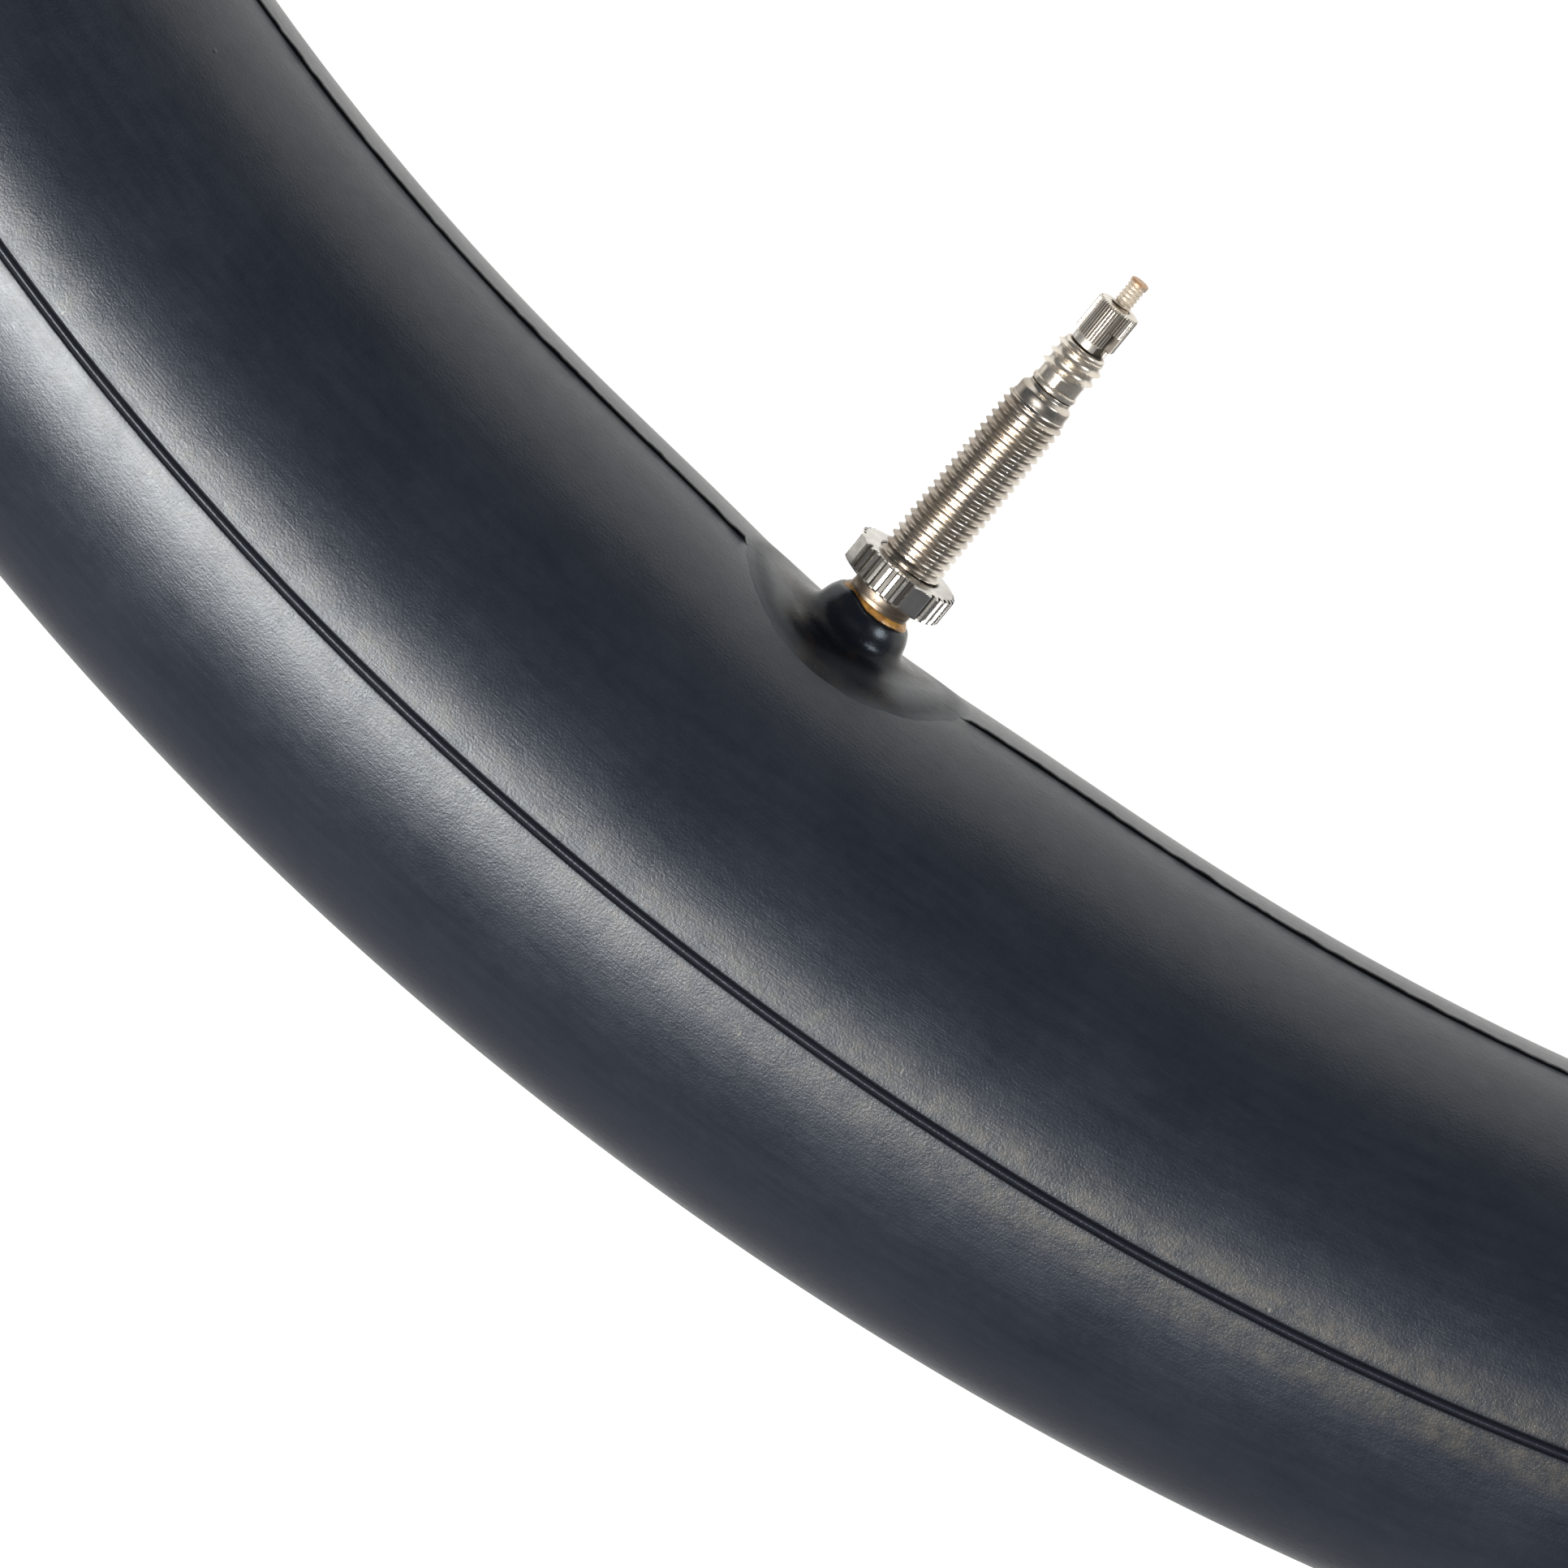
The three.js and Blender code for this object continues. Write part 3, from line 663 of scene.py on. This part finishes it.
def base_material():
    """Like the tube, with painted shade just inside the pad's edge, and wet black round the boss."""
    n = Nodes(bpy.data.materials.new("moulded_base"))
    place = n.place()
    foot = (0, VALVE_ZERO * MM, 0)
    apart = n.add("ShaderNodeVectorMath", {0: place, 1: foot}, operation="SUBTRACT").outputs[0]
    patches = n.noise(place, 260.0, 4.0, 0.6)
    lobes = n.noise(place, 150.0, 1.0, 0.4)
    fine = n.noise(place, 1300.0, 3.0, 0.6)
    grain = n.noise(place, 4200.0, 2.0, 0.6)

    def reach(x, z, sway):
        """Distance from the valve's axis as a share of x and z, with a wavy outline."""
        scaled = n.stretch(apart, (1 / (x * MM), 0.0, 1 / (z * MM)))
        length = n.add("ShaderNodeVectorMath", {0: scaled}, operation="LENGTH").outputs["Value"]
        return n.math("ADD", length, n.span(lobes, 0.3, 0.7, -sway, sway))

    ring = reach(PAD_RADIUS, PAD_RADIUS, 0.04)
    wet = n.span(reach(WET_WIDTH, WET_LENGTH, 0.3), 0.74, 1.06, 1.0, 0.0)
    # edge is the band just inside the pad's outline where shade is painted.
    edge = n.times(n.span(ring, 0.66, 0.84), n.span(ring, 0.99, 0.89))
    color = n.mix(n.span(patches, 0.35, 0.65), PAD_DARK, PAD_LIGHT)
    color = n.mix(n.times(edge, 0.6), color, PAD_EDGE_SHADE)
    color = n.mix(n.span(ring, 0.9, 0.99), color, RUBBER_MIDDLE)
    color = n.mix(wet, color, WET_BLACK)
    # The mould line across the pad: a fine groove with painted shade in it, fading out in the wet area.
    seam_place = SECTION * MM * math.sin(FIN_ANGLE)
    seam = n.math("ABSOLUTE", n.math("SUBTRACT", n.part(place, "Z"), seam_place))
    line = n.times(n.span(seam, 0.00005, 0.00012, 1.0, 0.0), n.span(wet, 0.0, 0.6, 1.0, 0.0))
    color = n.mix(n.times(line, 0.9), color, SEAM_SHADE)
    brown = n.times(n.span(n.noise(place, 330.0, 1.0), 0.5, 0.72), wet)
    color = n.mix(n.times(brown, 0.28), color, CEMENT_BROWN)
    color = n.mix(n.times(n.specks(place, 420.0, 0.07, 0.93), 0.7), color, PAD_SPECK)
    rough = n.math("ADD", n.span(wet, 0.0, 1.0, 0.385, 0.28), n.span(fine, 0.3, 0.7, -0.03, 0.03))
    uneven = n.math("ADD", n.times(fine, 0.6), n.times(patches, 0.6))
    relief = n.math("SUBTRACT", n.math("ADD", n.times(grain, 0.4), uneven), line)
    n.set(Base_Color=color, Roughness=rough, Normal=n.bump(relief, 0.3, 0.0001))
    low = n.span(n.part(place, "Y"), (VALVE_ZERO - 1.9) * MM, (VALVE_ZERO - 0.8) * MM)
    dull = n.math("MAXIMUM", n.times(edge, 0.5), n.times(wet, low))
    n.set(Specular_IOR_Level=n.span(dull, 0.0, 1.0, 0.5, 0.16))
    n.set(Specular_Tint=(0.80, 0.90, 1.0, 1.0), Coat_Roughness=0.3)
    n.set(Coat_Weight=n.span(n.math("MAXIMUM", edge, wet), 0.0, 1.0, 0.2, 0.0))
    return n.material


def cement_material():
    n = Nodes(bpy.data.materials.new("amber_cement"))
    place = n.place()
    tone = n.noise(place, 700.0, 4.0, 0.6)
    color = n.mix(n.span(tone, 0.42, 0.66), (0.66, 0.34, 0.075), (0.20, 0.075, 0.018))
    n.set(Base_Color=color, Roughness=n.span(tone, 0.3, 0.7, 0.22, 0.45), Subsurface_Weight=0.15)
    n.set(Subsurface_Radius=(0.4, 0.2, 0.1), Subsurface_Scale=0.001, Normal=n.bump(tone, 0.5, 0.0002))
    return n.material


def metal_material(name, bright, dull, film_and_shade, rough_low, metallic=1.0, groove=None, shaded_side=False):
    """Plated brass: bright where it is rubbed. Its grooves and hollows take the third colour, partly
    brownish grime and partly painted shade. A groove of that depth in millimetres is filled with that
    colour. The last argument paints shade, in that colour, on the +X side."""
    n = Nodes(bpy.data.materials.new(name))
    place = n.place()
    lines = n.noise(n.stretch(place, (300, 9000, 300)), 1.0, 3.0, 0.6)
    stain = n.noise(place, 330.0, 4.0, 0.65)
    nicks = n.noise(place, 1500.0, 2.0, 0.5)
    # Hollows found by ambient occlusion get the third colour: partly grime, partly painted shade.
    inside = n.add("ShaderNodeAmbientOcclusion", {"Distance": 0.0005}, samples=6).outputs["AO"]
    # The stem just below the rim nut gets that colour too, so it is darker there.
    foot = n.span(n.part(place, "Y"), (VALVE_ZERO - 6.2) * MM, (VALVE_ZERO - 4.9) * MM)
    grime_and_shade = n.math("MULTIPLY", n.span(inside, 0.94, 0.55), n.span(stain, 0.3, 0.65, 0.6, 1.0), True)
    grime_and_shade = n.math("MAXIMUM", grime_and_shade, n.times(foot, n.span(stain, 0.3, 0.6, 0.45, 0.9)))
    # Painted shade on the stem's +X side, in the third colour.
    if shaded_side:
        side = n.math("ADD", n.part(place, "X"), n.span(stain, 0.3, 0.7, -0.0006, 0.0006))
        grime_and_shade = n.math("MAXIMUM", grime_and_shade, n.span(side, 0.0012, 0.003, 0.0, 0.7))
    # Knurl grooves of the given depth get that colour too: grime and painted shade.
    if groove:
        grime_and_shade = n.math("MAXIMUM", grime_and_shade, n.span(n.attribute("depth"), 0.45 * groove, 0.9 * groove))
    color = n.mix(n.span(stain, 0.35, 0.7), bright, dull)
    color = n.mix(n.times(grime_and_shade, 0.9), color, film_and_shade)
    rough = n.span(stain, 0.3, 0.7, rough_low, rough_low + 0.13)
    rough = n.math("ADD", rough, n.times(grime_and_shade, 0.2))
    relief = n.math("ADD", lines, n.times(nicks, n.span(foot, 0.0, 1.0, 0.35, 3.0)))
    n.set(Base_Color=color, Metallic=metallic, Roughness=rough, Normal=n.bump(relief, 0.18, 0.00004))
    return n


def nickel_material():
    colors = (0.77, 0.72, 0.655), (0.62, 0.56, 0.48), (0.20, 0.145, 0.095)
    # The stem gets painted shade on its +X side.
    return metal_material("nickel_plate", *colors, 0.19, shaded_side=True).material


def knurled_material():
    """The rim nut: bright crests that fingers polish, and grooves painted near black, partly grime and
    partly shade.
    """
    colors = (0.80, 0.78, 0.74), (0.46, 0.44, 0.41), (0.030, 0.026, 0.022)
    return metal_material("nickel_knurled", *colors, 0.2, 0.96, 0.37).material


def core_material():
    """The core's plating is satin and creamy."""
    colors = (0.86, 0.81, 0.73), (0.68, 0.61, 0.51), (0.17, 0.12, 0.08)
    return metal_material("nickel_core", *colors, 0.2, 0.9).material


def worn_material():
    """The core nut's plating is dull from fingers; its grooves are painted darker, partly grime and
    partly shade.
    """
    colors = (0.86, 0.82, 0.76), (0.72, 0.67, 0.59), (0.10, 0.08, 0.06)
    return metal_material("nickel_worn", *colors, 0.27, 0.86, 0.17).material


def pin_material():
    """Pale plated thread that turns to bare copper-red brass at the tip."""
    colors = (0.88, 0.83, 0.74), (0.82, 0.73, 0.60), (0.50, 0.38, 0.26)
    n = metal_material("pin_brass", *colors, 0.33, 0.6)
    place = n.place()
    tip = (VALVE_ZERO - PIN_TIP) * MM
    ragged = n.span(n.noise(place, 900.0), 0.3, 0.7, -0.0003, 0.0003)
    worn = n.span(n.math("ADD", n.part(place, "Y"), ragged), tip + 0.0007, tip + 0.0001)
    plated = n.shader.inputs["Base Color"].links[0].from_socket
    n.set(Base_Color=n.mix(worn, plated, (0.52, 0.30, 0.16)))
    return n.material


def seal_material(name, color):
    n = Nodes(bpy.data.materials.new(name))
    tone = n.noise(n.place(), 900.0)
    darker = tuple(0.6 * c for c in color)
    n.set(Base_Color=n.mix(tone, color, darker), Roughness=n.span(tone, 0.3, 0.7, 0.45, 0.65))
    n.set(Normal=n.bump(tone, 0.3, 0.0001))
    return n.material


# ---- Camera, floor and light ----

TILT = math.radians(14)  # the camera leans from the ring's axis towards its centre
VIEW = Vector((0, -math.sin(TILT), math.cos(TILT)))  # from the object to the camera
TO_TIP = Vector((0, -math.cos(TILT), -math.sin(TILT)))  # along the valve, in the picture
ACROSS = Vector((-1, 0, 0))
VALVE_SLANT = math.radians(50.6)  # of the valve above the picture's horizontal
CAMERA_DISTANCE = 1.0
PICTURE_WIDTH = 0.1343  # at the valve
AIM = (-0.01344, 0.00363)  # from the foot of the valve to the middle of the picture


def make_camera():
    right = math.sin(VALVE_SLANT) * ACROSS + math.cos(VALVE_SLANT) * TO_TIP
    up = math.sin(VALVE_SLANT) * TO_TIP - math.cos(VALVE_SLANT) * ACROSS
    data = bpy.data.cameras.new("camera")
    data.sensor_width = 36.0
    data.lens = data.sensor_width * CAMERA_DISTANCE / PICTURE_WIDTH
    data.clip_start, data.clip_end = 0.01, 100
    camera = bpy.data.objects.new("camera", data)
    target = Vector((0, VALVE_ZERO * MM, 0)) + AIM[0] * TO_TIP + AIM[1] * ACROSS
    basis = Matrix((right, up, VIEW)).transposed().to_4x4()
    camera.matrix_world = Matrix.Translation(target + CAMERA_DISTANCE * VIEW) @ basis
    bpy.context.scene.collection.objects.link(camera)
    bpy.context.scene.camera = camera


def make_floor(height):
    size = 30.0
    mesh = bpy.data.meshes.new("floor")
    corners = [(x * size, y * size, height) for x, y in ((-1, -1), (1, -1), (1, 1), (-1, 1))]
    mesh.from_pydata(corners, [], [(0, 1, 2, 3)])
    floor = bpy.data.objects.new("floor", mesh)
    bpy.context.scene.collection.objects.link(floor)
    n = Nodes(bpy.data.materials.new("floor_white"))
    n.set(Base_Color=(0.12, 0.12, 0.12, 1.0), Roughness=0.9, Specular_IOR_Level=0.0)
    n.set(Emission_Color=(1.0, 1.0, 1.0, 1.0), Emission_Strength=1.0)
    mesh.materials.append(n.material)
    floor.visible_glossy = False  # the world's lower half stands for it in reflections


def softbox(name, tilt, turn, distance, width, length, radiance, color):
    """An area light. tilt is from the camera's direction; turn is in the picture's plane, from
    the valve's direction (0) towards ACROSS (90)."""
    sideways = math.cos(math.radians(turn)) * TO_TIP + math.sin(math.radians(turn)) * ACROSS
    direction = math.cos(math.radians(tilt)) * VIEW + math.sin(math.radians(tilt)) * sideways
    data = bpy.data.lights.new(name, "AREA")
    data.shape = "RECTANGLE"
    data.size, data.size_y = width, length
    data.energy = radiance * math.pi * width * length
    data.color = color
    lamp = bpy.data.objects.new(name, data)
    lamp.location = Vector((0, VALVE_ZERO * MM, 0)) + distance * direction
    lamp.rotation_mode = "QUATERNION"
    lamp.rotation_quaternion = direction.to_track_quat("Z", "Y")
    lamp.visible_camera = False
    bpy.context.scene.collection.objects.link(lamp)


def make_world():
    """A dim room above the floor's level. Below it the room is bright towards the ring's centre,
    straight down and far to the +X side, and grey elsewhere."""
    world = bpy.data.worlds.new("studio")
    bpy.context.scene.world = world
    n = Nodes(world)
    direction = n.add("ShaderNodeSeparateXYZ", {0: n.add("ShaderNodeTexCoord").outputs["Generated"]})
    sideways, outward, up = (direction.outputs[axis] for axis in "XYZ")
    room = n.mix(n.span(up, 0.0, 0.55), (0.18, 0.19, 0.20), (0.062, 0.066, 0.076))
    bright = n.math("MAXIMUM", n.span(outward, -0.3, 0.1, 1.0, 0.0), n.span(up, -0.7, -0.92))
    bright = n.math("MAXIMUM", bright, n.span(sideways, 0.6, 0.85, 0.0, 0.75))
    under = n.mix(bright, (0.25, 0.25, 0.26), (1.12, 1.10, 1.06))
    n.set(Color=n.mix(n.span(up, 0.0, -0.08), room, under))


def make_light():
    softbox("key_softbox", 41, 202, 0.7, 0.25, 0.36, 28.0, (1.0, 0.975, 0.945))
    softbox("side_softbox", 56, 56, 1.0, 0.3, 0.36, 10.0, (0.95, 0.98, 1.0))
    make_world()
    bpy.context.scene.view_settings.view_transform = "Standard"


def main():
    make_camera()
    make_light()
    make_tube()
    make_base()
    make_bead()
    nickel = nickel_material()
    make_stem(nickel)
    make_rim_nut(knurled_material())
    make_core(core_material())
    make_core_nut(worn_material())
    make_pin()
    make_inner_parts()
    shown_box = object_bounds()
    floor_height = shown_box[0].z - 0.0001
    make_floor(floor_height)


main()
